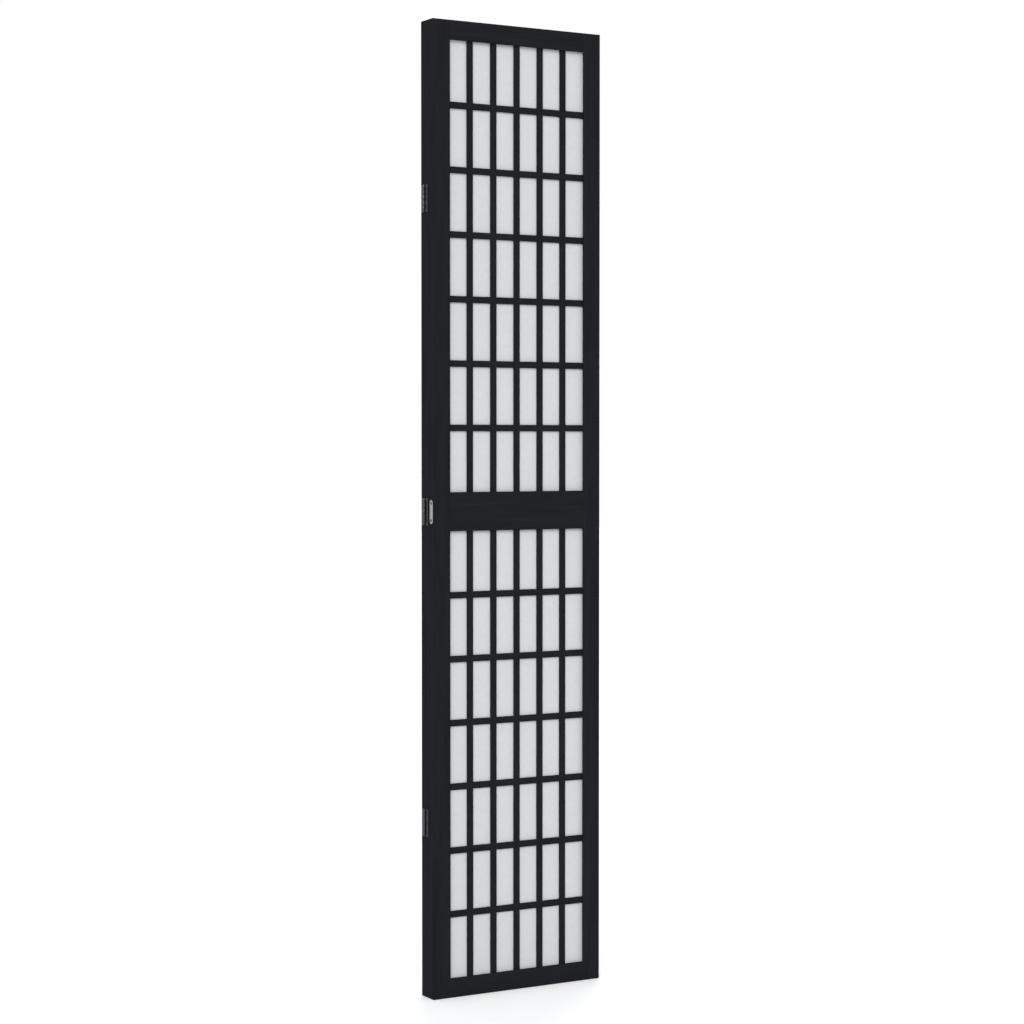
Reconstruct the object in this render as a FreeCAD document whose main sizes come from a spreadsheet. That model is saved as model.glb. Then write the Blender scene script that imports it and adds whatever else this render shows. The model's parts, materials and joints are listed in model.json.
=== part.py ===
import FreeCAD, Part
import math
import os

import Sketcher
from FreeCAD import Placement, Rotation, Vector

# A folding screen of three lattice panels with paper, folded flat, in millimetres.
#
# +Z is up, X runs across the panels and the front panel faces -Y. The origin is on the floor,
# under the middle of the folded stack. Each panel is two half frames, one on the other, held
# together by dowels in the two middle rails and by the hardware on the edges at mid-height.
# The front and centre panels are hinged on the right edge, the centre and rear panels on the left.

SIZES = {
    # the folded stack
    "screen_height": 1800,
    "panel_width": 360,
    "panel_thickness": 15,
    "fold_gap": 0.3,
    # the frames
    "stile_width": 36,
    "rail_height": 36,
    "edge_radius": 0.8,
    "groove_depth": 8,
    "tenon_play": 0.1,
    "tenon_end_play": 0.5,
    # the lattices and the paper
    "upright_count": 5,
    "crossbar_count": 6,
    "bar_width": 12,
    "bar_thickness": 3.9,
    "bar_end_play": 2,
    "paper_thickness": 0.3,
    "paper_end_play": 3,
    "lattice_play": 0.05,
    "lap_play": 0.05,
    # the dowels between the half frames
    "dowel_diameter": 6,
    "dowel_length": 32,
    "dowel_inset": 48,
    "dowel_play": 0.05,
    "dowel_end_play": 1,
    # the hinges
    "hinge_height": 50,
    "hinge_inset": 325,
    "leaf_thickness": 1.2,
    "leaf_margin": 3.15,
    "leaf_hole_margin": 7.5,
    "knuckle_count": 5,
    "knuckle_wall": 1.2,
    "knuckle_play": 0.2,
    "knuckle_clearance": 0.15,
    "pin_diameter": 2.4,
    "pin_play": 0.05,
    # the joining plates
    "plate_length": 44,
    "plate_thickness": 1.2,
    "plate_margin": 1.3,
    "plate_hole_margin": 6.4,
    "recess_depth": 1,
    "recess_play": 0.1,
    # the wood screws
    "screw_head": 5.4,
    "screw_shank": 3,
    "screw_length": 15,
    "screw_point": 3,
    "screw_recess": 2.6,
    "recess_cone": 0.9,
    "screw_play": 0.05,
    "screw_end_play": 0.5,
}

# What follows from the sizes, as expressions.
HALF_HEIGHT = "(sizes.screen_height / 2)"
HALF_WIDTH = "(sizes.panel_width / 2)"
HALF_THICKNESS = "(sizes.panel_thickness / 2)"
PANEL_PITCH = "(sizes.panel_thickness + sizes.fold_gap)"
OPENING_WIDTH = "(sizes.panel_width - 2 * sizes.stile_width)"
OPENING_HEIGHT = f"({HALF_HEIGHT} - 2 * sizes.rail_height)"
GROOVE_WIDTH = "(2 * sizes.bar_thickness + sizes.paper_thickness + 2 * sizes.lattice_play)"
BAR_TUCK = "(sizes.groove_depth - sizes.bar_end_play)"
PAPER_TUCK = "(sizes.groove_depth - sizes.paper_end_play)"
UPRIGHT_PITCH = f"(({OPENING_WIDTH} + sizes.bar_width) / (sizes.upright_count + 1))"
CROSSBAR_PITCH = f"({OPENING_HEIGHT} / (sizes.crossbar_count + 1))"

KNUCKLE_BORE = "(sizes.pin_diameter / 2 + sizes.pin_play)"
KNUCKLE_RADIUS = f"({KNUCKLE_BORE} + sizes.knuckle_wall)"
KNUCKLE_PITCH = "(sizes.hinge_height / sizes.knuckle_count)"
AXIS_OFFSET = f"({KNUCKLE_RADIUS} + sizes.knuckle_clearance)"
AXIS_X = f"({HALF_WIDTH} + {AXIS_OFFSET})"
AXIS_Y = f"({PANEL_PITCH} / 2)"
LEAF_FACE = f"({AXIS_OFFSET} - sizes.leaf_thickness)"
LEAF_WIDTH = "(sizes.panel_thickness + sizes.fold_gap / 2 - sizes.leaf_margin)"
LEAF_NOTCH = f"({KNUCKLE_RADIUS} + sizes.knuckle_play)"
LEAF_HOLE_LINE = f"(({LEAF_NOTCH} + {LEAF_WIDTH}) / 2)"
LEAF_HOLE_PITCH = "(sizes.hinge_height / 2 - sizes.leaf_hole_margin)"
HINGE_REACH = f"({HALF_HEIGHT} - sizes.hinge_inset)"

PLATE_WIDTH = "(sizes.panel_thickness - 2 * sizes.plate_margin)"
PLATE_FACE = "(sizes.recess_depth - sizes.plate_thickness)"
PLATE_HOLE_REACH = "(sizes.plate_length / 2 - sizes.plate_hole_margin)"

SCREW_BORE = "(sizes.screw_shank / 2 + sizes.screw_play)"
LEAF_SCREW_REACH = f"({LEAF_FACE} - {AXIS_OFFSET} + sizes.screw_length + sizes.screw_end_play)"
PLATE_SCREW_REACH = f"({PLATE_FACE} + sizes.screw_length + sizes.screw_end_play)"

# Half turns that bring one shape to the left or right edge, and to the upper or lower half.
AS_DRAWN = Rotation()
TURN_X = Rotation(Vector(1, 0, 0), 180)
TURN_Y = Rotation(Vector(0, 1, 0), 180)
TURN_Z = Rotation(Vector(0, 0, 1), 180)
STILE_TURNS = {
    ("upper", "left"): AS_DRAWN,
    ("upper", "right"): TURN_Z,
    ("lower", "left"): TURN_X,
    ("lower", "right"): TURN_Y,
}

# Each panel's place in the stack, and what its left and right edges carry: "behind" is a hinge
# to the panel behind it, "ahead" is a hinge to the panel ahead of it, "plate" is a joining plate.
PANELS = {
    "front": (-1, {"left": "plate", "right": "behind"}),
    "centre": (0, {"left": "behind", "right": "ahead"}),
    "rear": (1, {"left": "ahead", "right": "plate"}),
}
HINGE_SIDE = {"behind": 1, "ahead": -1}

doc = FreeCAD.newDocument("folding_screen")
sheet = doc.addObject("Spreadsheet::Sheet", "sizes")
subparts = []


# ---------------------------------------------------------------- helpers


def fill_sheet():
    for row, (alias, value) in enumerate(SIZES.items(), 1):
        sheet.set(f"A{row}", alias)
        sheet.set(f"B{row}", str(value))
        sheet.setAlias(f"B{row}", alias)
    doc.recompute()


def value(expression):
    """An expression's number now, for a first guess and for counting."""
    return float(sheet.evalExpression(expression))


def bind(thing, **expressions):
    for name, expression in expressions.items():
        thing.setExpression(name, expression)


def put(thing, turn, x="0", y="0", z="0"):
    """Turn a thing and bind the place of its own origin."""
    thing.Placement = Placement(Vector(value(x), value(y), value(z)), turn)
    for axis, expression in (("x", x), ("y", y), ("z", z)):
        thing.setExpression(f"Placement.Base.{axis}", expression)


def is_subpart(thing):
    subparts.append(thing)
    return thing


def group(name, solids):
    """Separate solids that share one node."""
    compound = doc.addObject("Part::Compound", name)
    compound.Links = solids
    return is_subpart(compound)


def flat_sketch(body, name, role, lift="0"):
    """A sketch on one of the body's own planes, lifted along the plane's normal."""
    sketch = body.newObject("Sketcher::SketchObject", name)
    plane = next(item for item in body.Origin.OriginFeatures if item.Role == role)
    sketch.AttachmentSupport = [(plane, "")]
    sketch.MapMode = "FlatFace"
    sketch.setExpression("AttachmentOffset.Base.z", lift)
    return sketch


def hold(sketch, kind, geometry, point, expression):
    """Fix one coordinate of a point from the sketch's origin."""
    constraint = Sketcher.Constraint(kind, -1, 1, geometry, point, value(expression))
    index = sketch.addConstraint(constraint)
    sketch.setExpression(f"Constraints[{index}]", expression)


def draw_outline(sketch, corners):
    """A closed outline of straight lines through corners given as pairs of expressions."""
    points = [Vector(value(x), value(y), 0) for x, y in corners]
    lines = []
    for start, end in zip(points, points[1:] + points[:1]):
        lines.append(sketch.addGeometry(Part.LineSegment(start, end), False))
    for line, following in zip(lines, lines[1:] + lines[:1]):
        sketch.addConstraint(Sketcher.Constraint("Coincident", line, 2, following, 1))
    for line, (x, y) in zip(lines, corners):
        hold(sketch, "DistanceX", line, 1, x)
        hold(sketch, "DistanceY", line, 1, y)


def draw_rectangle(sketch, left, right, low, high):
    draw_outline(sketch, [(left, low), (right, low), (right, high), (left, high)])


def draw_circle(sketch, radius, x, y):
    centre = Vector(value(x), value(y), 0)
    circle = Part.Circle(centre, Vector(0, 0, 1), value(radius))
    index = sketch.addGeometry(circle, False)
    constraint = sketch.addConstraint(Sketcher.Constraint("Radius", index, value(radius)))
    sketch.setExpression(f"Constraints[{constraint}]", radius)
    hold(sketch, "DistanceX", index, 3, x)
    hold(sketch, "DistanceY", index, 3, y)


def draw_slot(sketch, width, length):
    """An upright slot with round ends, centred on the sketch's origin."""
    radius = f"({width} / 2)"
    reach = f"({length} / 2 - {radius})"
    ends = []
    for sign, first_angle in ((1, 0), (-1, math.pi)):
        circle = Part.Circle(Vector(0, sign * value(reach), 0), Vector(0, 0, 1), value(radius))
        arc = Part.Arc(circle, first_angle, first_angle + math.pi)
        index = sketch.addGeometry(arc, False)
        constraint = sketch.addConstraint(Sketcher.Constraint("Radius", index, value(radius)))
        sketch.setExpression(f"Constraints[{constraint}]", radius)
        hold(sketch, "DistanceX", index, 3, "0")
        for point in (1, 2, 3):
            hold(sketch, "DistanceY", index, point, f"{sign} * {reach}")
        ends.append(index)
    top, bottom = ends
    for first, last in ((top, bottom), (bottom, top)):
        start = sketch.getPoint(first, 2)
        end = sketch.getPoint(last, 1)
        side = sketch.addGeometry(Part.LineSegment(start, end), False)
        sketch.addConstraint(Sketcher.Constraint("Coincident", first, 2, side, 1))
        sketch.addConstraint(Sketcher.Constraint("Coincident", side, 2, last, 1))


def pad(body, sketch, length, symmetric=False):
    feature = body.newObject("PartDesign::Pad", f"{sketch.Name}_pad")
    feature.Profile = sketch
    feature.setExpression("Length", length)
    if symmetric:
        feature.SideType = "Symmetric"
    return feature


def pocket(body, sketch, depth):
    """Cut along the sketch's normal, so into a piece that lies ahead of the sketch."""
    feature = body.newObject("PartDesign::Pocket", f"{sketch.Name}_pocket")
    feature.Profile = sketch
    feature.Reversed = True
    feature.setExpression("Length", depth)
    return feature


def countersink(body, name, depth, face, line, height):
    """A hole for a screw's head, opening on the face where X is `face` and narrowing along +X."""
    cone = body.newObject("PartDesign::SubtractiveCone", name)
    bind(cone, Radius1="sizes.screw_head / 2 + sizes.screw_play", Radius2=SCREW_BORE,
         Height=depth)
    put(cone, Rotation(Vector(0, 1, 0), 90), face, line, height)


def round_edges(body, feature, chosen):
    """Round the straight edges whose middle `chosen` accepts."""
    doc.recompute([feature], True)
    names = []
    for number, edge in enumerate(feature.Shape.Edges, 1):
        start, end = (vertex.Point for vertex in edge.Vertexes)
        if chosen((start + end) / 2):
            names.append(f"Edge{number}")
    fillet = body.newObject("PartDesign::Fillet", f"{feature.Name}_rounded")
    fillet.Base = (feature, names)
    fillet.setExpression("Radius", "sizes.edge_radius")
    return fillet


def close_to(number, expression):
    return abs(number - value(expression)) < 0.001


# ---------------------------------------------------------------- the frames


def stile(name, panel_y, half, side, edge):
    """Half of an upright, from the joint at mid-height outwards, with its outer edge at X = 0."""
    turn = STILE_TURNS[half, side]
    body = is_subpart(doc.addObject("PartDesign::Body", name))
    section = flat_sketch(body, f"{name}_section", "XY_Plane")
    inner = "sizes.stile_width"
    floor = f"{inner} - sizes.groove_depth"
    draw_outline(section, [
        ("0", f"-{HALF_THICKNESS}"),
        (inner, f"-{HALF_THICKNESS}"),
        (inner, f"-{GROOVE_WIDTH} / 2"),
        (floor, f"-{GROOVE_WIDTH} / 2"),
        (floor, f"{GROOVE_WIDTH} / 2"),
        (inner, f"{GROOVE_WIDTH} / 2"),
        (inner, HALF_THICKNESS),
        ("0", HALF_THICKNESS),
    ])
    length = pad(body, section, HALF_HEIGHT)

    def is_outer(middle):
        on_face = close_to(abs(middle.y), HALF_THICKNESS)
        upright = on_face and close_to(middle.x, "0")
        at_end = on_face and close_to(middle.z, HALF_HEIGHT)
        across_end = close_to(middle.x, "0") and close_to(middle.z, HALF_HEIGHT)
        return upright or at_end or across_end

    round_edges(body, length, is_outer)

    holes = flat_sketch(body, f"{name}_holes", "YZ_Plane")
    if edge == "plate":
        recess = flat_sketch(body, f"{name}_recess", "YZ_Plane")
        draw_slot(recess, f"({PLATE_WIDTH} + 2 * sizes.recess_play)",
                  "(sizes.plate_length + 2 * sizes.recess_play)")
        pocket(body, recess, "sizes.recess_depth")
        draw_circle(holes, SCREW_BORE, "0", PLATE_HOLE_REACH)
        pocket(body, holes, PLATE_SCREW_REACH)
    else:
        sign = HINGE_SIDE[edge] * round(turn.multVec(Vector(0, 1, 0)).y)
        line = f"{sign} * ({AXIS_Y} - {LEAF_HOLE_LINE})"
        draw_circle(holes, SCREW_BORE, line, LEAF_HOLE_PITCH)
        for step in (-1, 0, 1):
            draw_circle(holes, SCREW_BORE, line, f"{HINGE_REACH} + {step} * {LEAF_HOLE_PITCH}")
        pocket(body, holes, LEAF_SCREW_REACH)

    put(body, turn, f"-{HALF_WIDTH}" if side == "left" else HALF_WIDTH, panel_y, HALF_HEIGHT)


def rail(name, panel_y, base_z, turn, doweled):
    """A crosspiece with its opening side up as drawn, and a stub tenon in each stile's groove."""
    body = is_subpart(doc.addObject("PartDesign::Body", name))
    section = flat_sketch(body, f"{name}_section", "YZ_Plane")
    inner = "sizes.rail_height"
    floor = f"{inner} - sizes.groove_depth"
    draw_outline(section, [
        (f"-{HALF_THICKNESS}", "0"),
        (HALF_THICKNESS, "0"),
        (HALF_THICKNESS, inner),
        (f"{GROOVE_WIDTH} / 2", inner),
        (f"{GROOVE_WIDTH} / 2", floor),
        (f"-{GROOVE_WIDTH} / 2", floor),
        (f"-{GROOVE_WIDTH} / 2", inner),
        (f"-{HALF_THICKNESS}", inner),
    ])
    length = pad(body, section, OPENING_WIDTH, symmetric=True)
    if not doweled:
        round_edges(body, length, lambda middle: (
            close_to(middle.z, "0") and close_to(abs(middle.y), HALF_THICKNESS)))

    tenon = flat_sketch(body, f"{name}_tenon", "YZ_Plane")
    cheek = f"({GROOVE_WIDTH} / 2 - sizes.tenon_play)"
    draw_rectangle(tenon, f"-{cheek}", cheek, "0", floor)
    tenon_length = "(sizes.groove_depth - sizes.tenon_end_play)"
    pad(body, tenon, f"{OPENING_WIDTH} + 2 * {tenon_length}", symmetric=True)

    if doweled:
        holes = flat_sketch(body, f"{name}_dowel_holes", "XY_Plane")
        for sign in (-1, 1):
            draw_circle(holes, "sizes.dowel_diameter / 2 + sizes.dowel_play",
                        f"{sign} * ({OPENING_WIDTH} / 2 - sizes.dowel_inset)", "0")
        pocket(body, holes, "sizes.dowel_length / 2 + sizes.dowel_end_play")
    put(body, turn, "0", panel_y, base_z)


def dowels(name, panel_y):
    pegs = []
    for sign, side in ((-1, "left"), (1, "right")):
        peg = doc.addObject("Part::Cylinder", f"{name}_{side}")
        bind(peg, Radius="sizes.dowel_diameter / 2", Height="sizes.dowel_length")
        put(peg, AS_DRAWN, f"{sign} * ({OPENING_WIDTH} / 2 - sizes.dowel_inset)", "0",
            "-sizes.dowel_length / 2")
        pegs.append(peg)
    put(group(name, pegs), AS_DRAWN, "0", panel_y, HALF_HEIGHT)


# ---------------------------------------------------------------- the lattices and the paper

# A lattice is drawn on the panel's front side: its bars lie between the paper and the front.
# Its uprights and crossbars are flush and half-lapped: at a crossing the crossbar lies outside.
BAR_FRONT = "(-sizes.paper_thickness / 2 - sizes.bar_thickness)"
BAR_MIDDLE = "(-sizes.paper_thickness / 2 - sizes.bar_thickness / 2)"
BAR_BACK = "(-sizes.paper_thickness / 2)"
UPRIGHT_TURN = Rotation(Vector(1, 1, 1), 120)


def upright_place(number):
    """The low-X edge of one upright, counted from the left."""
    centre = f"({number} - (sizes.upright_count - 1) / 2) * {UPRIGHT_PITCH}"
    return f"({centre} - sizes.bar_width / 2)"


def crossbar_place(number):
    """The low edge of one crossbar, counted from the opening's foot."""
    return f"({number + 1} * {CROSSBAR_PITCH} - sizes.bar_width / 2)"


def upright_outline():
    """An upright from its side, notched in front: X is the depth here, and Y the height."""
    low = f"-{BAR_TUCK}"
    high = f"({OPENING_HEIGHT} + {BAR_TUCK})"
    corners = [(BAR_FRONT, low), (BAR_BACK, low), (BAR_BACK, high), (BAR_FRONT, high)]
    for number in reversed(range(int(value("sizes.crossbar_count")))):
        notch_low = f"({crossbar_place(number)} - sizes.lap_play)"
        notch_high = f"({crossbar_place(number)} + sizes.bar_width + sizes.lap_play)"
        corners += [(BAR_FRONT, notch_high), (BAR_MIDDLE, notch_high)]
        corners += [(BAR_MIDDLE, notch_low), (BAR_FRONT, notch_low)]
    sketch = doc.addObject("Sketcher::SketchObject", "upright_outline")
    draw_outline(sketch, corners)
    return sketch


def crossbar_outline():
    """A crossbar from above, notched at the back."""
    reach = f"({OPENING_WIDTH} / 2 + {BAR_TUCK})"
    corners = [(f"-{reach}", BAR_BACK), (f"-{reach}", BAR_FRONT)]
    corners += [(reach, BAR_FRONT), (reach, BAR_BACK)]
    for number in reversed(range(int(value("sizes.upright_count")))):
        notch_left = f"({upright_place(number)} - sizes.lap_play)"
        notch_right = f"({upright_place(number)} + sizes.bar_width + sizes.lap_play)"
        corners += [(notch_right, BAR_BACK), (notch_right, BAR_MIDDLE)]
        corners += [(notch_left, BAR_MIDDLE), (notch_left, BAR_BACK)]
    sketch = doc.addObject("Sketcher::SketchObject", "crossbar_outline")
    draw_outline(sketch, corners)
    return sketch


def bar(name, outline, turn, x="0", z="0"):
    solid = doc.addObject("Part::Extrusion", name)
    solid.Base = outline
    solid.DirMode = "Custom"
    solid.Dir = Vector(0, 0, 1)
    solid.Solid = True
    bind(solid, LengthFwd="sizes.bar_width")
    put(solid, turn, x, "0", z)
    return solid


def lattice(name, outlines, panel_y, base_z, turn):
    upright_shape, crossbar_shape = outlines
    bars = []
    for number in range(int(value("sizes.upright_count"))):
        bars.append(bar(f"{name}_upright_{number + 1}", upright_shape, UPRIGHT_TURN,
                        x=upright_place(number)))
    for number in range(int(value("sizes.crossbar_count"))):
        bars.append(bar(f"{name}_crossbar_{number + 1}", crossbar_shape, AS_DRAWN,
                        z=crossbar_place(number)))
    put(group(name, bars), turn, "0", panel_y, base_z)


def paper(name, panel_y, base_z):
    leaf = is_subpart(doc.addObject("Part::Box", name))
    bind(leaf, Length=f"{OPENING_WIDTH} + 2 * {PAPER_TUCK}", Width="sizes.paper_thickness",
         Height=f"{OPENING_HEIGHT} + 2 * {PAPER_TUCK}")
    put(leaf, AS_DRAWN, f"-{OPENING_WIDTH} / 2 - {PAPER_TUCK}",
        f"{panel_y} - sizes.paper_thickness / 2", f"{base_z} - {PAPER_TUCK}")


# ---------------------------------------------------------------- the hardware

# Everything on one hinge line is drawn about its axis, at mid-height: +X runs from the axis
# into the wood, and +Y along the leaf, away from the axis.
LEVELS = {"lower": -1, "middle": 0, "upper": 1}


def hole_steps(level):
    """Which of a leaf's three hole places are used: the middle hinge spans the half frames' joint."""
    return (-1, 1) if level == "middle" else (-1, 0, 1)


def knuckle_span(number):
    """The low and high ends of one knuckle, with play towards its neighbours."""
    last = int(value("sizes.knuckle_count")) - 1
    low = f"-sizes.hinge_height / 2 + {number} * {KNUCKLE_PITCH}"
    high = f"{low} + {KNUCKLE_PITCH}"
    if number > 0:
        low = f"{low} + sizes.knuckle_play / 2"
    if number < last:
        high = f"{high} - sizes.knuckle_play / 2"
    return low, high


def hinge_leaf(name, level, first_knuckle):
    """A flat leaf with every second knuckle, counted from `first_knuckle`."""
    body = doc.addObject("PartDesign::Body", name)
    count = int(value("sizes.knuckle_count"))
    own = range(first_knuckle, count, 2)
    end = "sizes.hinge_height / 2"

    corners = [(LEAF_WIDTH, f"-{end}"), (LEAF_WIDTH, end)]
    if count - 1 not in own:
        corners.append((LEAF_NOTCH, end))
    for number in reversed(own):
        low, high = knuckle_span(number)
        if number < count - 1:
            corners.append((LEAF_NOTCH, high))
        corners.append(("0", high))
        corners.append(("0", low))
        if number > 0:
            corners.append((LEAF_NOTCH, low))
    if 0 not in own:
        corners.append((LEAF_NOTCH, f"-{end}"))
    flat = flat_sketch(body, f"{name}_flat", "YZ_Plane", LEAF_FACE)
    draw_outline(flat, corners)
    pad(body, flat, "sizes.leaf_thickness")

    rolled = flat_sketch(body, f"{name}_knuckles", "XZ_Plane")
    for number in own:
        draw_rectangle(rolled, KNUCKLE_BORE, KNUCKLE_RADIUS, *knuckle_span(number))
    tubes = body.newObject("PartDesign::Revolution", f"{name}_rolled")
    tubes.Profile = rolled
    tubes.ReferenceAxis = (rolled, ["V_Axis"])
    tubes.Angle = 360

    for step in hole_steps(level):
        countersink(body, f"{name}_hole_{step + 2}", "sizes.leaf_thickness", LEAF_FACE,
                    LEAF_HOLE_LINE, f"{step} * {LEAF_HOLE_PITCH}")
    put(body, AS_DRAWN, "0", "0", f"{LEVELS[level]} * {HINGE_REACH}")
    return body


def hinge_leaves(name, turn, x, y, first_knuckle):
    leaves = [hinge_leaf(f"{name}_{level}", level, first_knuckle) for level in LEVELS]
    put(group(name, leaves), turn, x, y, HALF_HEIGHT)


def hinge_pins(name, x, y):
    pins = []
    for level, sign in LEVELS.items():
        pin = doc.addObject("Part::Cylinder", f"{name}_{level}")
        bind(pin, Radius="sizes.pin_diameter / 2", Height="sizes.hinge_height")
        put(pin, AS_DRAWN, "0", "0", f"{sign} * {HINGE_REACH} - sizes.hinge_height / 2")
        pins.append(pin)
    put(group(name, pins), AS_DRAWN, x, y, HALF_HEIGHT)


def screw_profile(name, head_depth):
    """Half a countersunk screw's section: X is the depth below its head's face, Y the radius."""
    sketch = doc.addObject("Sketcher::SketchObject", name)
    shoulder = "sizes.screw_length - sizes.screw_point"
    draw_outline(sketch, [
        ("sizes.recess_cone", "0"),
        ("0", "sizes.screw_recess / 2"),
        ("0", "sizes.screw_head / 2"),
        (head_depth, "sizes.screw_shank / 2"),
        (shoulder, "sizes.screw_shank / 2"),
        ("sizes.screw_length", "0"),
    ])
    return sketch


def screws(name, profile, turn, x, y, head_face, line, heights):
    """Screws along +X, one at each height, with the faces of their heads at `head_face`."""
    turned = []
    for number, height in enumerate(heights, 1):
        screw = doc.addObject("Part::Revolution", f"{name}_{number}")
        screw.Source = profile
        screw.Axis = Vector(1, 0, 0)
        screw.Base = Vector(0, 0, 0)
        screw.Angle = 360
        screw.Solid = True
        put(screw, AS_DRAWN, head_face, line, height)
        turned.append(screw)
    put(group(name, turned), turn, x, y, HALF_HEIGHT)


def hinge_screw_heights():
    return [f"{sign} * {HINGE_REACH} + {step} * {LEAF_HOLE_PITCH}"
            for level, sign in LEVELS.items() for step in hole_steps(level)]


def joining_plate(name, turn, x, y):
    """A plate with round ends, let into the free edge across the half frames' joint."""
    body = is_subpart(doc.addObject("PartDesign::Body", name))
    outline = flat_sketch(body, f"{name}_outline", "YZ_Plane", PLATE_FACE)
    draw_slot(outline, PLATE_WIDTH, "sizes.plate_length")
    pad(body, outline, "sizes.plate_thickness")
    for number, sign in enumerate((-1, 1), 1):
        countersink(body, f"{name}_hole_{number}", "sizes.plate_thickness", PLATE_FACE, "0",
                    f"{sign} * {PLATE_HOLE_REACH}")
    put(body, turn, x, y, HALF_HEIGHT)


# ---------------------------------------------------------------- the whole screen


def panel(name, place, edges, outlines):
    panel_y = f"({place} * {PANEL_PITCH})"
    for half, side in STILE_TURNS:
        stile(f"{name}_{half}_{side}_stile", panel_y, half, side, edges[side])
    rail(f"{name}_top_rail", panel_y, "sizes.screen_height", TURN_X, doweled=False)
    rail(f"{name}_upper_middle_rail", panel_y, HALF_HEIGHT, AS_DRAWN, doweled=True)
    rail(f"{name}_lower_middle_rail", panel_y, HALF_HEIGHT, TURN_X, doweled=True)
    rail(f"{name}_bottom_rail", panel_y, "0", AS_DRAWN, doweled=False)
    dowels(f"{name}_dowels", panel_y)
    openings = {"upper": f"({HALF_HEIGHT} + sizes.rail_height)", "lower": "sizes.rail_height"}
    for half, base_z in openings.items():
        lattice(f"{name}_{half}_face_lattice", outlines, panel_y, base_z, AS_DRAWN)
        lattice(f"{name}_{half}_back_lattice", outlines, panel_y, base_z, TURN_Z)
        paper(f"{name}_{half}_paper", panel_y, base_z)


def hardware():
    leaf_screw = screw_profile("leaf_screw_profile", "sizes.leaf_thickness")
    plate_screw = screw_profile("plate_screw_profile", "sizes.plate_thickness")
    left, right = f"-{AXIS_X}", AXIS_X
    ahead, behind = f"-{AXIS_Y}", AXIS_Y
    hinge_halves = (
        ("front_hinge", TURN_Z, right, ahead, 1),
        ("centre_right_hinge", TURN_Y, right, ahead, 0),
        ("centre_left_hinge", TURN_X, left, behind, 0),
        ("rear_hinge", AS_DRAWN, left, behind, 1),
    )
    for name, turn, x, y, first_knuckle in hinge_halves:
        hinge_leaves(f"{name}_leaves", turn, x, y, first_knuckle)
        screws(f"{name}_screws", leaf_screw, turn, x, y, LEAF_FACE, LEAF_HOLE_LINE,
               hinge_screw_heights())
    hinge_pins("right_hinge_pins", right, ahead)
    hinge_pins("left_hinge_pins", left, behind)

    plate_heights = [f"{sign} * {PLATE_HOLE_REACH}" for sign in (-1, 1)]
    for name, turn, x, y in (("front", AS_DRAWN, f"-{HALF_WIDTH}", f"-{PANEL_PITCH}"),
                             ("rear", TURN_Z, HALF_WIDTH, PANEL_PITCH)):
        joining_plate(f"{name}_joining_plate", turn, x, y)
        screws(f"{name}_plate_screws", plate_screw, turn, x, y, PLATE_FACE, "0", plate_heights)


def check():
    for thing in doc.Objects:
        if {"Invalid", "Error"} & set(thing.State):
            raise RuntimeError(f"{thing.Label} failed: {thing.State}")
    for thing in subparts:
        if thing.Shape.isNull() or not thing.Shape.isValid():
            raise RuntimeError(f"{thing.Label} has no valid shape")


def export():
    os.makedirs("parts", exist_ok=True)
    for thing in subparts:
        thing.Shape.exportStep(f"parts/{thing.Label}.step")


fill_sheet()
bar_outlines = upright_outline(), crossbar_outline()
for panel_name, (stack_place, panel_edges) in PANELS.items():
    panel(panel_name, stack_place, panel_edges, bar_outlines)
hardware()
doc.recompute()
check()
export()
print(len(subparts), "nodes,", sum(len(thing.Shape.Solids) for thing in subparts), "solids")
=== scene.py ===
import json
import math
import random

import bmesh
import bpy
from mathutils import Matrix, Vector


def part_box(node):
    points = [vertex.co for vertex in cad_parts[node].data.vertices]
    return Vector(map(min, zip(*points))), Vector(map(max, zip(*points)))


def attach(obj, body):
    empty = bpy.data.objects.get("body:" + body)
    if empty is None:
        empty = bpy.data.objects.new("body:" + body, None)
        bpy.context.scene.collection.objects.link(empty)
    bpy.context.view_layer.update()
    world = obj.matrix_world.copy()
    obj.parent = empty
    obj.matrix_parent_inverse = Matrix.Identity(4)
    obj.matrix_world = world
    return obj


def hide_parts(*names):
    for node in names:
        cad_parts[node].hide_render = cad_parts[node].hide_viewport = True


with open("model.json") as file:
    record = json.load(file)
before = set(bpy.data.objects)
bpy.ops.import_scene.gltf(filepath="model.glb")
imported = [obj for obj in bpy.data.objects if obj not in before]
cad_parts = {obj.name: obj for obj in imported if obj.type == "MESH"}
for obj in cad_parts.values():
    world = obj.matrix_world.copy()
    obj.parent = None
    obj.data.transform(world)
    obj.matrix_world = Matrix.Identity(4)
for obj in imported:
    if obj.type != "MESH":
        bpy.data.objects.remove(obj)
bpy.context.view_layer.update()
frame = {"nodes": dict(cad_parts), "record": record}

# The looks of a folding screen: three black lattice panels with white paper, folded flat.
# Metres, +Z up. X runs across the panels and the front panel faces -Y.

MM = 0.001
DEGREE = math.pi / 180
X, Y, Z = 0, 1, 2

PANELS = ("front", "centre", "rear")
HALVES = ("upper", "lower")
SIDES = ("face", "back")
LEFT_AND_RIGHT = ("left", "right")
RAILS = ("top_rail", "upper_middle_rail", "lower_middle_rail", "bottom_rail")
RAILS_BELOW_AND_ABOVE = {
    "upper": ("upper_middle_rail", "top_rail"),
    "lower": ("bottom_rail", "lower_middle_rail"),
}
HINGES = ("front_hinge", "centre_right_hinge", "centre_left_hinge", "rear_hinge")
PLATES = ("front", "rear")

# how a copy of a CAD solid is cleaned: points this close are one, and faces this flat are one
WELD = 0.002 * MM
FLAT = 0.5 * DEGREE
SHARP = 30 * DEGREE

# how wide the rounding of each kind of edge is
FRAME_EASE = 0.25 * MM
BAR_EASE = 0.3 * MM
STEEL_EASE = 0.12 * MM
PLATE_EASE = 0.25 * MM
EASE_STEPS = 2

PATTERN_SEED = 7

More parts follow.
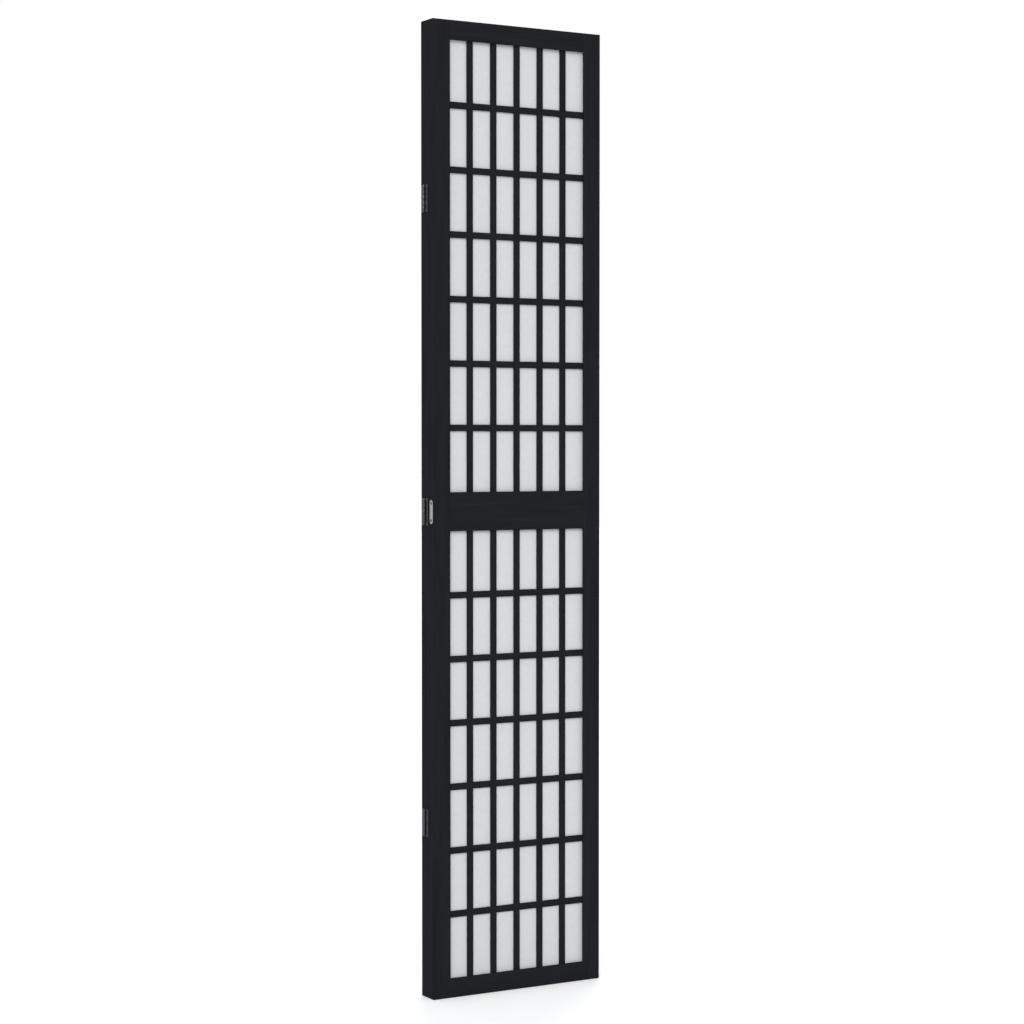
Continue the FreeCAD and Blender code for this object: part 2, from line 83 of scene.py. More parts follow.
# the camera stands left of the screen, near mid-height, and looks slightly down
CAMERA_PLACE = (-2.2236, -3.8395, 1.0301)
CAMERA_TURN = -30.08 * DEGREE
CAMERA_TILT = -1.72 * DEGREE
CAMERA_LENS = 83.1
CAMERA_SENSOR = 36


# ---------------------------------------------------------------- helpers: the frame


def body_of(node):
    """The name of the body that a CAD node rides on."""
    bodies = frame["record"]["behaviour"]["bodies"]
    return next(body for body, nodes in bodies.items() if node in nodes)


def merged(node):
    """A CAD node's mesh as a new bmesh, with its loose triangles joined and its flat faces whole."""
    mesh = bmesh.new()
    mesh.from_mesh(frame["nodes"][node].data)
    bmesh.ops.remove_doubles(mesh, verts=mesh.verts, dist=WELD)
    bmesh.ops.dissolve_limit(mesh, angle_limit=FLAT, verts=mesh.verts, edges=mesh.edges)
    return mesh


def islands(mesh):
    """The separate solids of a bmesh, each as a list of its vertices."""
    left = set(mesh.verts)
    found = []
    while left:
        reached = {left.pop()}
        front = list(reached)
        while front:
            vertex = front.pop()
            for edge in vertex.link_edges:
                other = edge.other_vert(vertex)
                if other not in reached:
                    reached.add(other)
                    front.append(other)
        left -= reached
        found.append(list(reached))
    return found


def box_of(vertices):
    """The lowest and the highest corner of the box round some vertices."""
    points = [vertex.co for vertex in vertices]
    low = Vector([min(point[axis] for point in points) for axis in (X, Y, Z)])
    high = Vector([max(point[axis] for point in points) for axis in (X, Y, Z)])
    return low, high


def solid_boxes(node):
    """The lowest and highest corner of each solid in a CAD node, from the lowest to the highest."""
    mesh = merged(node)
    boxes = sorted((box_of(vertices) for vertices in islands(mesh)), key=lambda box: box[0].z)
    mesh.free()
    return boxes


def lies_across(low, high):
    """Whether a bar's box is a crossbar's, not an upright's."""
    return high.x - low.x > high.z - low.z


# ---------------------------------------------------------------- helpers: pieces


def loose_object(name, mesh):
    """Make a bmesh an object of the scene."""
    data = bpy.data.meshes.new(name)
    mesh.to_mesh(data)
    mesh.free()
    thing = bpy.data.objects.new(name, data)
    bpy.context.scene.collection.objects.link(thing)
    return thing


def place_piece(name, mesh, node, materials):
    """Make a bmesh a piece that stands for a CAD node and rides on its body."""
    piece = loose_object(name, mesh)
    for material in materials:
        piece.data.materials.append(material)
    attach(piece, body_of(node))
    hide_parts(node)
    return piece


def join_into(mesh, part):
    """Add one bmesh's shape to another and free it."""
    data = bpy.data.meshes.new("part")
    part.to_mesh(data)
    part.free()
    mesh.from_mesh(data)
    bpy.data.meshes.remove(data)


def bevel(mesh, edges, width, clamp):
    """Round some edges."""
    bmesh.ops.bevel(mesh, geom=edges, offset=width, offset_type="OFFSET", segments=EASE_STEPS,
                    profile=0.5, affect="EDGES", material=-1, clamp_overlap=clamp)


def ease_edges(mesh, width):
    """Round every sharp edge."""
    sharp = [edge for edge in mesh.edges if edge.calc_face_angle(0) > SHARP]
    bevel(mesh, sharp, width, clamp=True)


def shade_smooth(mesh):
    """Smooth shading, with the sharp edges kept sharp."""
    for face in mesh.faces:
        face.smooth = True
    for edge in mesh.edges:
        edge.smooth = edge.calc_face_angle(0) <= SHARP


def spun(profile, steps):
    """A closed solid of revolution about Z, from its outline's points as (radius, height)."""
    mesh = bmesh.new()
    points = [mesh.verts.new((radius, 0, height)) for radius, height in profile]
    edges = [mesh.edges.new(pair) for pair in zip(points, points[1:])]
    bmesh.ops.spin(mesh, geom=points + edges, cent=(0, 0, 0), axis=(0, 0, 1), angle=2 * math.pi,
                   steps=steps, use_merge=True)
    bmesh.ops.remove_doubles(mesh, verts=mesh.verts, dist=WELD)
    bmesh.ops.recalc_face_normals(mesh, faces=mesh.faces)
    return mesh


def cut_away(piece, cutter):
    """Cut one object out of another, for good."""
    modifier = piece.modifiers.new("cut", "BOOLEAN")
    modifier.operation = "DIFFERENCE"
    modifier.solver = "EXACT"
    modifier.object = cutter
    graph = bpy.context.evaluated_depsgraph_get()
    data = bpy.data.meshes.new_from_object(piece.evaluated_get(graph))
    piece.modifiers.clear()
    piece.data = data
    bpy.data.objects.remove(cutter)


# ---------------------------------------------------------------- helpers: materials


# noise seldom goes below or above these
NOISE_LOW = 0.3
NOISE_HIGH = 0.7


def drawn_out(axis, factor):
    """A pattern's size as factors along X, Y and Z, when it is drawn out along one of them."""
    stretch = [1, 1, 1]
    stretch[axis] = factor
    return stretch


class Recipe:
    """A node material with one Principled shader, fed in object coordinates in metres."""

    def __init__(self, name, colour, **settings):
        self.material = bpy.data.materials.new(name)
        self.material.use_nodes = True
        self.tree = self.material.node_tree
        self.shader = self.tree.nodes["Principled BSDF"]
        self.shader.inputs["Base Color"].default_value = (*colour, 1)
        for socket, number in settings.items():
            self.shader.inputs[socket.replace("_", " ")].default_value = number

    def add(self, kind, **settings):
        node = self.tree.nodes.new(kind)
        for name, setting in settings.items():
            setattr(node, name, setting)
        return node

    def link(self, output, target):
        self.tree.links.new(output, target)

    def coordinates(self, stretch=(1, 1, 1), turn=(0, 0, 0)):
        """Object coordinates, with the pattern's size along each axis as a factor."""
        source = self.add("ShaderNodeTexCoord")
        mapping = self.add("ShaderNodeMapping")
        mapping.inputs["Rotation"].default_value = turn
        mapping.inputs["Scale"].default_value = [1 / factor for factor in stretch]
        self.link(source.outputs["Object"], mapping.inputs["Vector"])
        return mapping.outputs["Vector"]

    def noise(self, vector, size, detail=2.0, roughness=0.5, distortion=0.0):
        """Smooth noise from 0 to 1 whose features are about `size` across."""
        node = self.add("ShaderNodeTexNoise")
        self.link(vector, node.inputs["Vector"])
        node.inputs["Scale"].default_value = 1 / size
        node.inputs["Detail"].default_value = detail
        node.inputs["Roughness"].default_value = roughness
        node.inputs["Distortion"].default_value = distortion
        return node.outputs["Fac"]

    def remap(self, value, low, high, to_low, to_high, smooth=False):
        """The values from low to high, spread from to_low to to_high and held there beyond."""
        node = self.add("ShaderNodeMapRange")
        node.interpolation_type = "SMOOTHSTEP" if smooth else "LINEAR"
        self.link(value, node.inputs["Value"])
        for socket, number in (("From Min", low), ("From Max", high),
                               ("To Min", to_low), ("To Max", to_high)):
            node.inputs[socket].default_value = number
        return node.outputs["Result"]

    def math(self, operation, first, second=0.5):
        node = self.add("ShaderNodeMath", operation=operation)
        for index, value in enumerate((first, second)):
            if isinstance(value, (int, float)):
                node.inputs[index].default_value = value
            else:
                self.link(value, node.inputs[index])
        return node.outputs["Value"]

    def shares(self, first, first_share, second, second_share):
        """Two values added up by their shares."""
        return self.math("ADD", self.math("MULTIPLY", first, first_share),
                         self.math("MULTIPLY", second, second_share))

    def colour(self, factor, first, second):
        """Give the surface a colour between two colours."""
        node = self.add("ShaderNodeMix", data_type="RGBA")
        self.link(factor, node.inputs["Factor"])
        node.inputs["A"].default_value = (*first, 1)
        node.inputs["B"].default_value = (*second, 1)
        self.link(node.outputs["Result"], self.shader.inputs["Base Color"])
        return node.outputs["Result"]

    def bump(self, height, depth, strength):
        node = self.add("ShaderNodeBump")
        node.inputs["Distance"].default_value = depth
        node.inputs["Strength"].default_value = strength
        self.link(height, node.inputs["Height"])
        self.link(node.outputs["Normal"], self.shader.inputs["Normal"])


# ---------------------------------------------------------------- the black paint


PAINT_DARK = (0.0112, 0.0116, 0.0140)
PAINT_PALE = (0.0186, 0.0192, 0.0226)
PAINT_IOR = 1.035
PAINT_SMOOTHEST = 0.46
PAINT_ROUGHEST = 0.62
GRAIN_SIZE = 1.6 * MM
GRAIN_STRETCH = 26
GRAIN_DEPTH = 0.16 * MM
FIGURE_SIZE = 16 * MM
FIGURE_STRETCH = 14
ORANGE_PEEL_SIZE = 1.1 * MM


def black_paint(name, along):
    """Matt black paint over a straight-grained softwood: the grain shows as faint ridges."""
    recipe = Recipe(name, PAINT_PALE, IOR=PAINT_IOR)
    grain = recipe.noise(recipe.coordinates(drawn_out(along, GRAIN_STRETCH)), GRAIN_SIZE,
                         detail=5, roughness=0.62, distortion=0.25)
    figure = recipe.noise(recipe.coordinates(drawn_out(along, FIGURE_STRETCH)), FIGURE_SIZE,
                          distortion=0.6)
    orange_peel = recipe.noise(recipe.coordinates(), ORANGE_PEEL_SIZE, detail=1)

    streaks = recipe.shares(figure, 0.45, grain, 0.55)
    recipe.colour(recipe.remap(streaks, NOISE_LOW, NOISE_HIGH, 0, 1), PAINT_DARK, PAINT_PALE)
    recipe.link(recipe.remap(grain, 0.25, 0.75, PAINT_SMOOTHEST, PAINT_ROUGHEST),
                recipe.shader.inputs["Roughness"])
    recipe.bump(recipe.shares(grain, 0.8, orange_peel, 0.2), GRAIN_DEPTH, strength=0.6)
    return recipe.material


# ---------------------------------------------------------------- the frames and the lattices


# an outward edge that turns by more than this is square
SQUARE = 60 * DEGREE


def lies_at(edge, axis, place):
    """Whether an edge lies in the plane across an axis at a place along it."""
    return all(abs(vertex.co[axis] - place) < WELD for vertex in edge.verts)


def frame_member(node, planes, paint):
    """A stile or rail whose square edges are eased in its two faces and in some more planes."""
    mesh = merged(node)
    low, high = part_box(node)
    planes = [(Y, low.y), (Y, high.y)] + planes
    square = [edge for edge in mesh.edges if edge.calc_face_angle_signed(0) > SQUARE
              and any(lies_at(edge, axis, place) for axis, place in planes)]
    bevel(mesh, square, FRAME_EASE, clamp=False)
    shade_smooth(mesh)
    place_piece(f"{node}_painted", mesh, node, [paint])


def panel_frames(panel, upright_paint, crosswise_paint):
    """A panel's stiles and rails, with the grain along each. Their joints show as fine lines."""
    left, inner = (corner.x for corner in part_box(f"{panel}_upper_left_stile"))
    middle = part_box(f"{panel}_upper_middle_rail")[0].z
    for half in HALVES:
        frame_member(f"{panel}_{half}_left_stile", [(X, left), (Z, middle)], upright_paint)
        frame_member(f"{panel}_{half}_right_stile", [(X, -left), (Z, middle)], upright_paint)
    for rail in RAILS:
        frame_member(f"{panel}_{rail}", [(X, inner), (X, -inner)], crosswise_paint)


def lattice_bars(node, upright_paint, crosswise_paint):
    """The lattice's bars with eased edges. The uprights and crossbars take their own grain."""
    mesh = merged(node)
    for vertices in islands(mesh):
        for face in {face for vertex in vertices for face in vertex.link_faces}:
            face.material_index = int(lies_across(*box_of(vertices)))
    ease_edges(mesh, BAR_EASE)
    shade_smooth(mesh)
    place_piece(f"{node}_bars", mesh, node, [upright_paint, crosswise_paint])


BEECH = (0.6, 0.42, 0.25)
BEECH_DARK = (0.5, 0.33, 0.19)
BEECH_PALE = (0.68, 0.49, 0.31)
BEECH_GRAIN_SIZE = 0.9 * MM
BEECH_GRAIN_STRETCH = 18
BEECH_GRAIN_DEPTH = 0.05 * MM


def bare_beech():
    """Bare straight-grained beech."""
    recipe = Recipe("bare_beech", BEECH, Roughness=0.7)
    grain = recipe.noise(recipe.coordinates(drawn_out(Z, BEECH_GRAIN_STRETCH)), BEECH_GRAIN_SIZE,
                         detail=4)
    recipe.colour(grain, BEECH_DARK, BEECH_PALE)
    recipe.bump(grain, BEECH_GRAIN_DEPTH, strength=0.4)
    return recipe.material


def panel_dowels(panel, beech):
    """The dowels keep their CAD shape: they are hidden in the middle rails."""
    materials = frame["nodes"][f"{panel}_dowels"].data.materials
    materials.clear()
    materials.append(beech)


# ---------------------------------------------------------------- the paper


PAPER_SHADE = (0.697, 0.708, 0.719)
PAPER_FIBRE = (0.747, 0.757, 0.764)
PAPER_ROUGHNESS = 0.86
PAPER_SPECULAR = 0.2
PAPER_DEPTH = 0.05 * MM
LIGHT_THROUGH = 0.15
# the fibres lie in two layers, each turned about Y and with its own size
FIBRE_LAYERS = ((0.3, 15 * MM), (1.9, 11 * MM))
FIBRE_STRETCH = (1.7, 1, 0.8)
# a thread runs where the noise is this near its middle: solid at the first, gone at the second
THREAD_CORE = 0.001
THREAD_RIM = 0.012
# the threads fade in between these levels of a finer noise
FADE_START = 0.48
FADE_END = 0.6
FADE_SHARE = 0.7
CLOUD_SIZE = 7 * MM
CLOUD_SHARE = 0.55
FLECK_SIZE = 0.7 * MM

# the most that a cell's paper swells, and the steps that a cell is cut into
PAPER_SWELL = 0.3 * MM
PAPER_STEPS = 4
# points this near to a cut lie on it
CUT_REACH = 0.01 * MM


def paper_fibres(recipe):
    """1 on thin winding lines, which come and go, and 0 between them."""
    fibres = None
    for turn, size in FIBRE_LAYERS:
        vector = recipe.coordinates(FIBRE_STRETCH, (0, turn, 0))
        line = recipe.noise(vector, size, detail=1.5, distortion=1.2)
        distance = recipe.math("ABSOLUTE", recipe.math("SUBTRACT", line, 0.5))
        thread = recipe.remap(distance, THREAD_CORE, THREAD_RIM, 1, 0, smooth=True)
        patch = recipe.noise(recipe.coordinates(turn=(0, -turn, 0)), FADE_SHARE * size)
        shown = recipe.remap(patch, FADE_START, FADE_END, 0, 1, smooth=True)
        thread = recipe.math("MULTIPLY", thread, shown)
        fibres = thread if fibres is None else recipe.math("MAXIMUM", fibres, thread)
    return fibres


def screen_paper():
    """White paper with long pale fibres; a share of the light behind it comes through."""
    recipe = Recipe("shoji_paper", PAPER_FIBRE, Roughness=PAPER_ROUGHNESS,
                    Specular_IOR_Level=PAPER_SPECULAR)
    fibres = paper_fibres(recipe)
    cloud = recipe.noise(recipe.coordinates(), CLOUD_SIZE, detail=4, roughness=0.6)
    fleck = recipe.noise(recipe.coordinates(), FLECK_SIZE, detail=1)
    cloudy = recipe.remap(cloud, NOISE_LOW, NOISE_HIGH, 0, CLOUD_SHARE, smooth=True)
    density = recipe.math("ADD", cloudy, recipe.math("MULTIPLY", fibres, 1 - CLOUD_SHARE))
    colour = recipe.colour(density, PAPER_SHADE, PAPER_FIBRE)
    recipe.bump(recipe.shares(fibres, 0.7, fleck, 0.3), PAPER_DEPTH, strength=0.5)

    glow = recipe.add("ShaderNodeBsdfTranslucent")
    recipe.link(colour, glow.inputs["Color"])
    mix = recipe.add("ShaderNodeMixShader")
    mix.inputs["Fac"].default_value = LIGHT_THROUGH
    recipe.link(recipe.shader.outputs["BSDF"], mix.inputs[1])
    recipe.link(glow.outputs["BSDF"], mix.inputs[2])
    recipe.link(mix.outputs["Shader"], recipe.tree.nodes["Material Output"].inputs["Surface"])
    return recipe.material


def bar_spans(panel, half):
    """The spans that the bars cover on the paper, across and up."""
    across, up = [], []
    for low, high in solid_boxes(f"{panel}_{half}_face_lattice"):
        if lies_across(low, high):
            up.append((low.z, high.z))
        else:
            across.append((low.x, high.x))
    return sorted(across), sorted(up)


def free_spans(start, end, covered):
    """What is left between two places when the covered spans are taken out."""
    starts = [start] + [high for low, high in covered]
    ends = [low for low, high in covered] + [end]
    return list(zip(starts, ends))


def cell_spans(panel, half):
    """The columns and rows of cells where the paper is free, as spans across and up."""
    across, up = bar_spans(panel, half)
    left, right = (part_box(f"{panel}_{half}_{side}_stile") for side in LEFT_AND_RIGHT)
    below, above = (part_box(f"{panel}_{rail}") for rail in RAILS_BELOW_AND_ABOVE[half])
    columns = free_spans(left[1].x, right[0].x, across)
    rows = free_spans(below[1].z, above[0].z, up)
    return columns, rows


def upright_sheet(low, high):
    """One flat face in the middle of a box, across its width and height."""
    mesh = bmesh.new()
    bmesh.ops.create_grid(mesh, x_segments=1, y_segments=1, size=0.5)
    turn = Matrix.Rotation(math.pi / 2, 4, "X")
    stretch = Matrix.Diagonal((high.x - low.x, high.z - low.z, 1, 1))
    centre = Matrix.Translation((low + high) / 2)
    bmesh.ops.transform(mesh, matrix=centre @ turn @ stretch, verts=mesh.verts)
    return mesh


def cut_in_steps(mesh, spans, direction):
    """Cut a sheet at both ends of each span and at even steps between them."""
    for start, end in spans:
        for step in range(PAPER_STEPS + 1):
            place = direction * (start + (end - start) * step / PAPER_STEPS)
            bmesh.ops.bisect_plane(mesh, geom=mesh.verts[:] + mesh.edges[:] + mesh.faces[:],
                                   plane_co=place, plane_no=direction, dist=CUT_REACH)


def arch(position, start, end):
    """A smooth rise from 0 at a span's ends to 1 in its middle."""
    return math.sin(math.pi * (position - start) / (end - start))


def swell_cells(mesh, columns, rows, draw):
    """Push the paper in each cell a little forward or back, most in the middle."""
    for left, right in columns:
        for bottom, top in rows:
            amount = draw.uniform(-PAPER_SWELL, PAPER_SWELL)
            for vertex in mesh.verts:
                if left < vertex.co.x < right and bottom < vertex.co.z < top:
                    vertex.co.y += (amount * arch(vertex.co.x, left, right)
                                    * arch(vertex.co.z, bottom, top))


def paper_sheet(panel, half, paper, draw):
    """A stretched sheet, held flat under the bars and a little uneven in each cell."""
    node = f"{panel}_{half}_paper"
    low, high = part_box(node)
    width, thickness, height = high - low
    columns, rows = cell_spans(panel, half)
    mesh = upright_sheet(low, high)
    cut_in_steps(mesh, columns, Vector((1, 0, 0)))
    cut_in_steps(mesh, rows, Vector((0, 0, 1)))
    swell_cells(mesh, columns, rows, draw)
    bmesh.ops.translate(mesh, verts=mesh.verts, vec=(0, -thickness / 2, 0))
    bmesh.ops.solidify(mesh, geom=mesh.faces[:], thickness=thickness)
    bmesh.ops.recalc_face_normals(mesh, faces=mesh.faces)
    shade_smooth(mesh)
    sheet = place_piece(f"{panel}_{half}_paper_sheet", mesh, node, [paper])


# ---------------------------------------------------------------- the metals


# each metal's darker and paler tone and its roughness
HINGE_STEEL = ((0.054, 0.054, 0.056), (0.074, 0.074, 0.076), 0.34)
PIN_STEEL = ((0.08, 0.08, 0.082), (0.1, 0.1, 0.102), 0.28)
# the screws' steel is partly a dark plating and partly painted shade: it is darker than the plating,
# so that the heads look shadowed in their countersinks
SCREW_STEEL_WITH_SHADE = ((0.026, 0.026, 0.027), (0.04, 0.04, 0.042), 0.36)
PLATE_ZINC = ((0.3, 0.3, 0.305), (0.37, 0.37, 0.375), 0.3)

BRUSH_SIZE = 0.35 * MM
BRUSH_STRETCH = 40
BRUSH_DEPTH = 0.02 * MM
PATINA_SIZE = 6 * MM
# how far the brush marks take the roughness down and up
SMOOTHER = 0.06
ROUGHER = 0.08


def plated_steel(name, dark, pale, rough):
    """Plated sheet steel with fine upright brush marks and slightly uneven plating."""
    recipe = Recipe(name, pale, Metallic=1.0)
    brush = recipe.noise(recipe.coordinates(drawn_out(Z, BRUSH_STRETCH)), BRUSH_SIZE, detail=3)
    patina = recipe.noise(recipe.coordinates(), PATINA_SIZE, detail=4, roughness=0.6)
    recipe.colour(recipe.remap(patina, NOISE_LOW, NOISE_HIGH, 0, 1, smooth=True), dark, pale)
    recipe.link(recipe.remap(brush, NOISE_LOW, NOISE_HIGH, rough - SMOOTHER, rough + ROUGHER),
                recipe.shader.inputs["Roughness"])
    recipe.bump(brush, BRUSH_DEPTH, strength=0.4)
    return recipe.material


# ---------------------------------------------------------------- the hinges and the plates


PIN_STEPS = 24
# how far a pin's rounded end goes along it, and how far the end's flat middle bulges
PIN_DOME = 0.5 * MM
PIN_END = 0.04 * MM


def pressed_steel(node, name, ease, metal):
    """Sheet steel parts with eased edges."""
    mesh = merged(node)
    ease_edges(mesh, ease)
    shade_smooth(mesh)
    place_piece(name, mesh, node, [metal])


def hinge_pin(radius, length):
    """A pin that stands on Z = 0 and is rounded at both ends."""
    end = [(0, 0), (radius - PIN_DOME, PIN_END), (radius - PIN_DOME / 4, PIN_DOME / 3),
           (radius, PIN_DOME)]
    other_end = [(reach, length - height) for reach, height in reversed(end)]
    return spun(end + other_end, PIN_STEPS)


def hinge_pins(side, steel):
    """The pins of one hinge line."""
    node = f"{side}_hinge_pins"
    mesh = bmesh.new()
    for low, high in solid_boxes(node):
        pin = hinge_pin((high.x - low.x) / 2, high.z - low.z)
        place = Vector(((low.x + high.x) / 2, (low.y + high.y) / 2, low.z))
        bmesh.ops.translate(pin, verts=pin.verts, vec=place)
        join_into(mesh, pin)
    shade_smooth(mesh)
    place_piece(f"{side}_rounded_pins", mesh, node, [steel])


# ---------------------------------------------------------------- the screws


SCREW_STEPS = 24
RIM_WIDTH = 0.1 * MM
RIM_DEPTH = 0.08 * MM
HEAD_DEPTH = 1.2 * MM
SHANK_RADIUS = 1.5 * MM
PLAIN_SHANK = 1.5 * MM
THREAD_PITCH = 1.3 * MM
THREAD_ROOT = 0.78 * SHANK_RADIUS
# where the root between two crests starts and ends, as shares of the pitch
ROOT_START = 0.35
ROOT_END = 0.65
POINT_LENGTH = 3 * MM

CROSS_SPAN = 2.7 * MM
CROSS_SLOT = 0.75 * MM
CROSS_DEPTH = 1.3 * MM
# how much narrower a wing is at its tip, along it, across it and in depth
CROSS_TAPER = (0.3, 0.6, 1)


def cross_wing(turn):
    """One wing of a cross-point driver's tip, pointing down into the head's face at Z = 0."""
    mesh = bmesh.new()
    bmesh.ops.create_cube(mesh, size=1)
    bmesh.ops.scale(mesh, vec=(CROSS_SPAN, CROSS_SLOT, 2 * CROSS_DEPTH), verts=mesh.verts)
    tip = [vertex for vertex in mesh.verts if vertex.co.z < 0]
    bmesh.ops.scale(mesh, vec=CROSS_TAPER, verts=tip)
    bmesh.ops.rotate(mesh, cent=(0, 0, 0), matrix=Matrix.Rotation(turn, 3, "Z"), verts=mesh.verts)
    return loose_object("cross_wing", mesh)


def screw_profile(head_radius, length):
    """A wood screw's outline as (radius, height), from the middle of its head to its point."""
    depth = HEAD_DEPTH + PLAIN_SHANK
    profile = [(0, 0), (head_radius - RIM_WIDTH, 0), (head_radius, -RIM_DEPTH),
               (SHANK_RADIUS, -HEAD_DEPTH), (SHANK_RADIUS, -depth)]
    while depth + THREAD_PITCH < length - POINT_LENGTH:
        profile += [(THREAD_ROOT, -depth - ROOT_START * THREAD_PITCH),
                    (THREAD_ROOT, -depth - ROOT_END * THREAD_PITCH),
                    (SHANK_RADIUS, -depth - THREAD_PITCH)]
        depth += THREAD_PITCH
    return profile + [(THREAD_ROOT, POINT_LENGTH - length), (0, -length)]


def wood_screw(head_radius, length):
    """A countersunk wood screw with a cross recess, its head's face at Z = 0 and its point down."""
    screw = loose_object("wood_screw", spun(screw_profile(head_radius, length), SCREW_STEPS))
    for turn in (0, math.pi / 2):
        cut_away(screw, cross_wing(turn))
    return screw


def screw_group(node, name, metal, draw):
    """Screws in a CAD node's places, each turned as a driver left it."""
    boxes = solid_boxes(node)
    low, high = boxes[0]
    outward = 1 if low.x > 0 else -1
    pattern = wood_screw((high.y - low.y) / 2, high.x - low.x)
    mesh = bmesh.new()
    for low, high in boxes:
        face = high.x if outward > 0 else low.x
        place = Matrix.Translation((face, (low.y + high.y) / 2, (low.z + high.z) / 2))
        lay = Matrix.Rotation(outward * math.pi / 2, 4, "Y")
        drive = Matrix.Rotation(draw.uniform(0, math.pi / 2), 4, "Z")
        screw = bmesh.new()
        screw.from_mesh(pattern.data)
        bmesh.ops.transform(screw, matrix=place @ lay @ drive, verts=screw.verts)
        join_into(mesh, screw)
    bpy.data.objects.remove(pattern)
    shade_smooth(mesh)
    place_piece(name, mesh, node, [metal])


# ---------------------------------------------------------------- the studio


FLOOR_SIZE = 40.0
FLOOR_DROP = 0.5 * MM
FLOOR_COLOUR = (0.86, 0.86, 0.86)
# how much brighter the floor looks than it is lit
FLOOR_LIFT = 0.25

SKY_COLOUR = (0.97, 0.985, 1, 1)
SKY_STRENGTH = 0.7
WHITE = (1, 1, 1, 1)

LAMP_SPREAD = 30 * DEGREE
# each lamp's direction from the screen, and its strength
LAMPS = {
    "key_lamp": ((-2.2, -3.0, 1.8), 1.5),
    "back_lamp": ((2.2, 3.0, 1.8), 1.2),
}


def seen_directly(tree):
    """1 for rays that show the surroundings: from the camera, from gloss and through glass."""
    path = tree.nodes.new("ShaderNodeLightPath")
    highest = path.outputs["Is Camera Ray"]
    for name in ("Is Glossy Ray", "Is Transmission Ray"):
        larger = tree.nodes.new("ShaderNodeMath")
        larger.operation = "MAXIMUM"
        tree.links.new(highest, larger.inputs[0])
        tree.links.new(path.outputs[name], larger.inputs[1])
        highest = larger.outputs["Value"]
    return highest


def studio_world():
    """Even soft light, seen as plain white."""
    world = bpy.data.worlds.new("studio")
    bpy.context.scene.world = world
    world.use_nodes = True
    tree = world.node_tree
    ambient = tree.nodes["Background"]
    ambient.inputs["Color"].default_value = SKY_COLOUR
    ambient.inputs["Strength"].default_value = SKY_STRENGTH
    seen = tree.nodes.new("ShaderNodeBackground")
    seen.inputs["Color"].default_value = WHITE
    seen.inputs["Strength"].default_value = 1.0
    mix = tree.nodes.new("ShaderNodeMixShader")
    tree.links.new(seen_directly(tree), mix.inputs["Fac"])
    tree.links.new(ambient.outputs["Background"], mix.inputs[1])
    tree.links.new(seen.outputs["Background"], mix.inputs[2])
    tree.links.new(mix.outputs["Shader"], tree.nodes["World Output"].inputs["Surface"])


def pale_floor():
    """Matt white, lifted where it is seen, so that it is as pale as the world."""
    recipe = Recipe("pale_floor", FLOOR_COLOUR, Roughness=1.0, Specular_IOR_Level=0.0)
    lift = recipe.add("ShaderNodeEmission")
    recipe.link(recipe.math("MULTIPLY", seen_directly(recipe.tree), FLOOR_LIFT),
                lift.inputs["Strength"])
    total = recipe.add("ShaderNodeAddShader")
    recipe.link(recipe.shader.outputs["BSDF"], total.inputs[0])
    recipe.link(lift.outputs["Emission"], total.inputs[1])
    recipe.link(total.outputs["Shader"], recipe.tree.nodes["Material Output"].inputs["Surface"])
    return recipe.material


def studio_floor():
    """A pale floor that keeps a soft shadow."""
    mesh = bmesh.new()
    bmesh.ops.create_grid(mesh, x_segments=1, y_segments=1, size=FLOOR_SIZE / 2)
    bmesh.ops.translate(mesh, verts=mesh.verts, vec=(0, 0, -FLOOR_DROP))
    floor = loose_object("studio_floor", mesh)
    floor.data.materials.append(pale_floor())


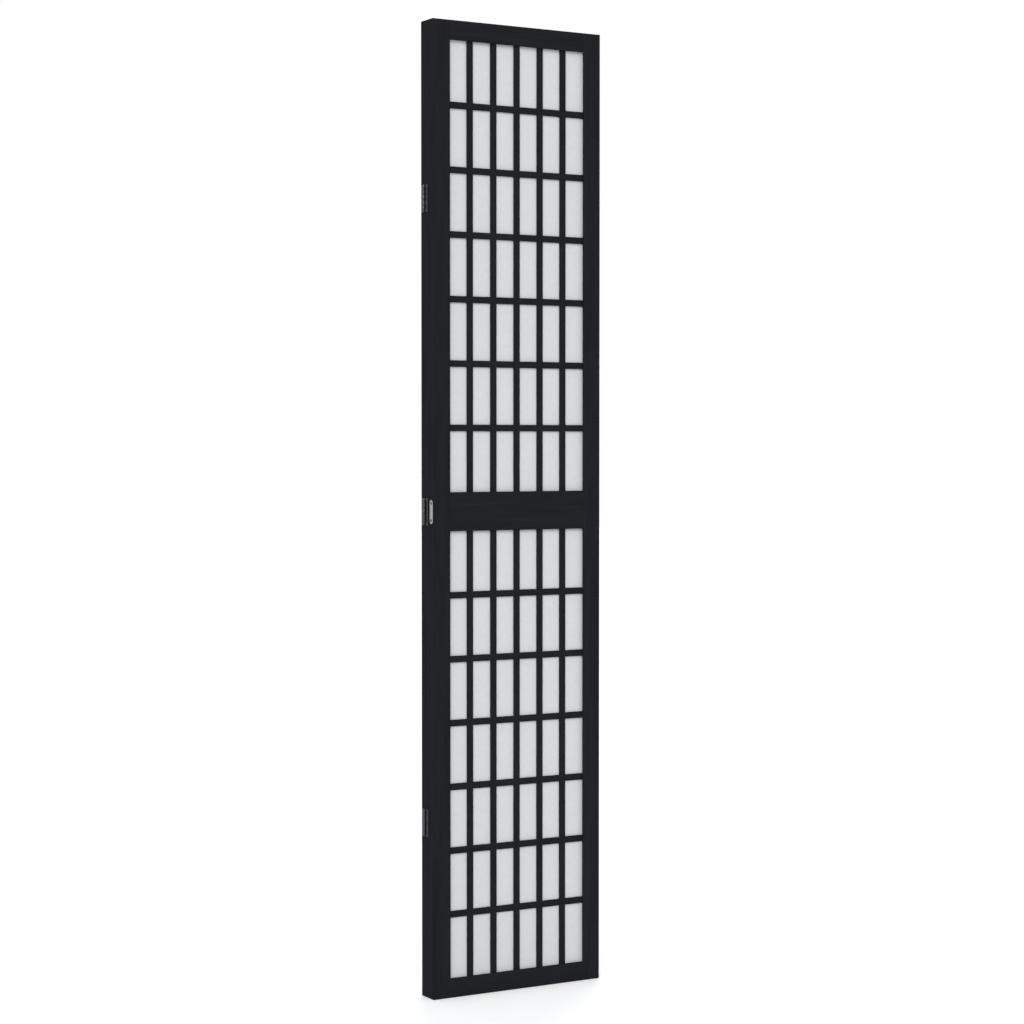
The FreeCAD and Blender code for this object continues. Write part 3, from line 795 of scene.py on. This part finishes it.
def studio_lamps():
    """Wide soft lamps so far away that they light the whole height alike."""
    for name, (place, strength) in LAMPS.items():
        light = bpy.data.lights.new(name, "SUN")
        light.angle = LAMP_SPREAD
        light.energy = strength
        lamp = bpy.data.objects.new(name, light)
        lamp.location = place
        lamp.rotation_euler = (-Vector(place)).to_track_quat("-Z", "Y").to_euler()
        bpy.context.scene.collection.objects.link(lamp)


def camera():
    """The camera at the photograph's viewpoint."""
    data = bpy.data.cameras.new("camera")
    data.sensor_width = CAMERA_SENSOR
    data.lens = CAMERA_LENS
    viewer = bpy.data.objects.new("camera", data)
    viewer.location = CAMERA_PLACE
    viewer.rotation_euler = (math.pi / 2 + CAMERA_TILT, 0, CAMERA_TURN)
    bpy.context.scene.collection.objects.link(viewer)
    bpy.context.scene.camera = viewer


# ---------------------------------------------------------------- the whole scene


def panels(draw):
    """The wood and the paper of the three panels."""
    upright_paint = black_paint("black_paint_grain_up", Z)
    crosswise_paint = black_paint("black_paint_grain_across", X)
    paper = screen_paper()
    beech = bare_beech()
    for panel in PANELS:
        panel_frames(panel, upright_paint, crosswise_paint)
        for half in HALVES:
            for side in SIDES:
                lattice_bars(f"{panel}_{half}_{side}_lattice", upright_paint, crosswise_paint)
            paper_sheet(panel, half, paper, draw)
        panel_dowels(panel, beech)


def hardware(draw):
    """Hinges with their pins, joining plates, and the screws in both."""
    hinge_steel = plated_steel("dark_plated_steel", *HINGE_STEEL)
    pin_steel = plated_steel("dark_pin_steel", *PIN_STEEL)
    # the screws' colour holds painted shade for their countersinks as well as their dark plating
    screw_steel_with_shade = plated_steel("screw_steel_painted_shade", *SCREW_STEEL_WITH_SHADE)
    zinc = plated_steel("plate_zinc", *PLATE_ZINC)
    for hinge in HINGES:
        pressed_steel(f"{hinge}_leaves", f"{hinge}_pressed_leaves", STEEL_EASE,
                      hinge_steel)
        screw_group(f"{hinge}_screws", f"{hinge}_wood_screws", screw_steel_with_shade, draw)
    for side in LEFT_AND_RIGHT:
        hinge_pins(side, pin_steel)
    for place in PLATES:
        pressed_steel(f"{place}_joining_plate", f"{place}_pressed_plate",
                      PLATE_EASE, zinc)
        screw_group(f"{place}_plate_screws", f"{place}_plate_wood_screws", screw_steel_with_shade, draw)


def studio():
    """What surrounds the screen: plain light, a pale floor and the camera."""
    studio_world()
    studio_floor()
    studio_lamps()
    camera()
    bpy.context.scene.view_settings.view_transform = "Standard"


draw = random.Random(PATTERN_SEED)
panels(draw)
hardware(draw)
studio()
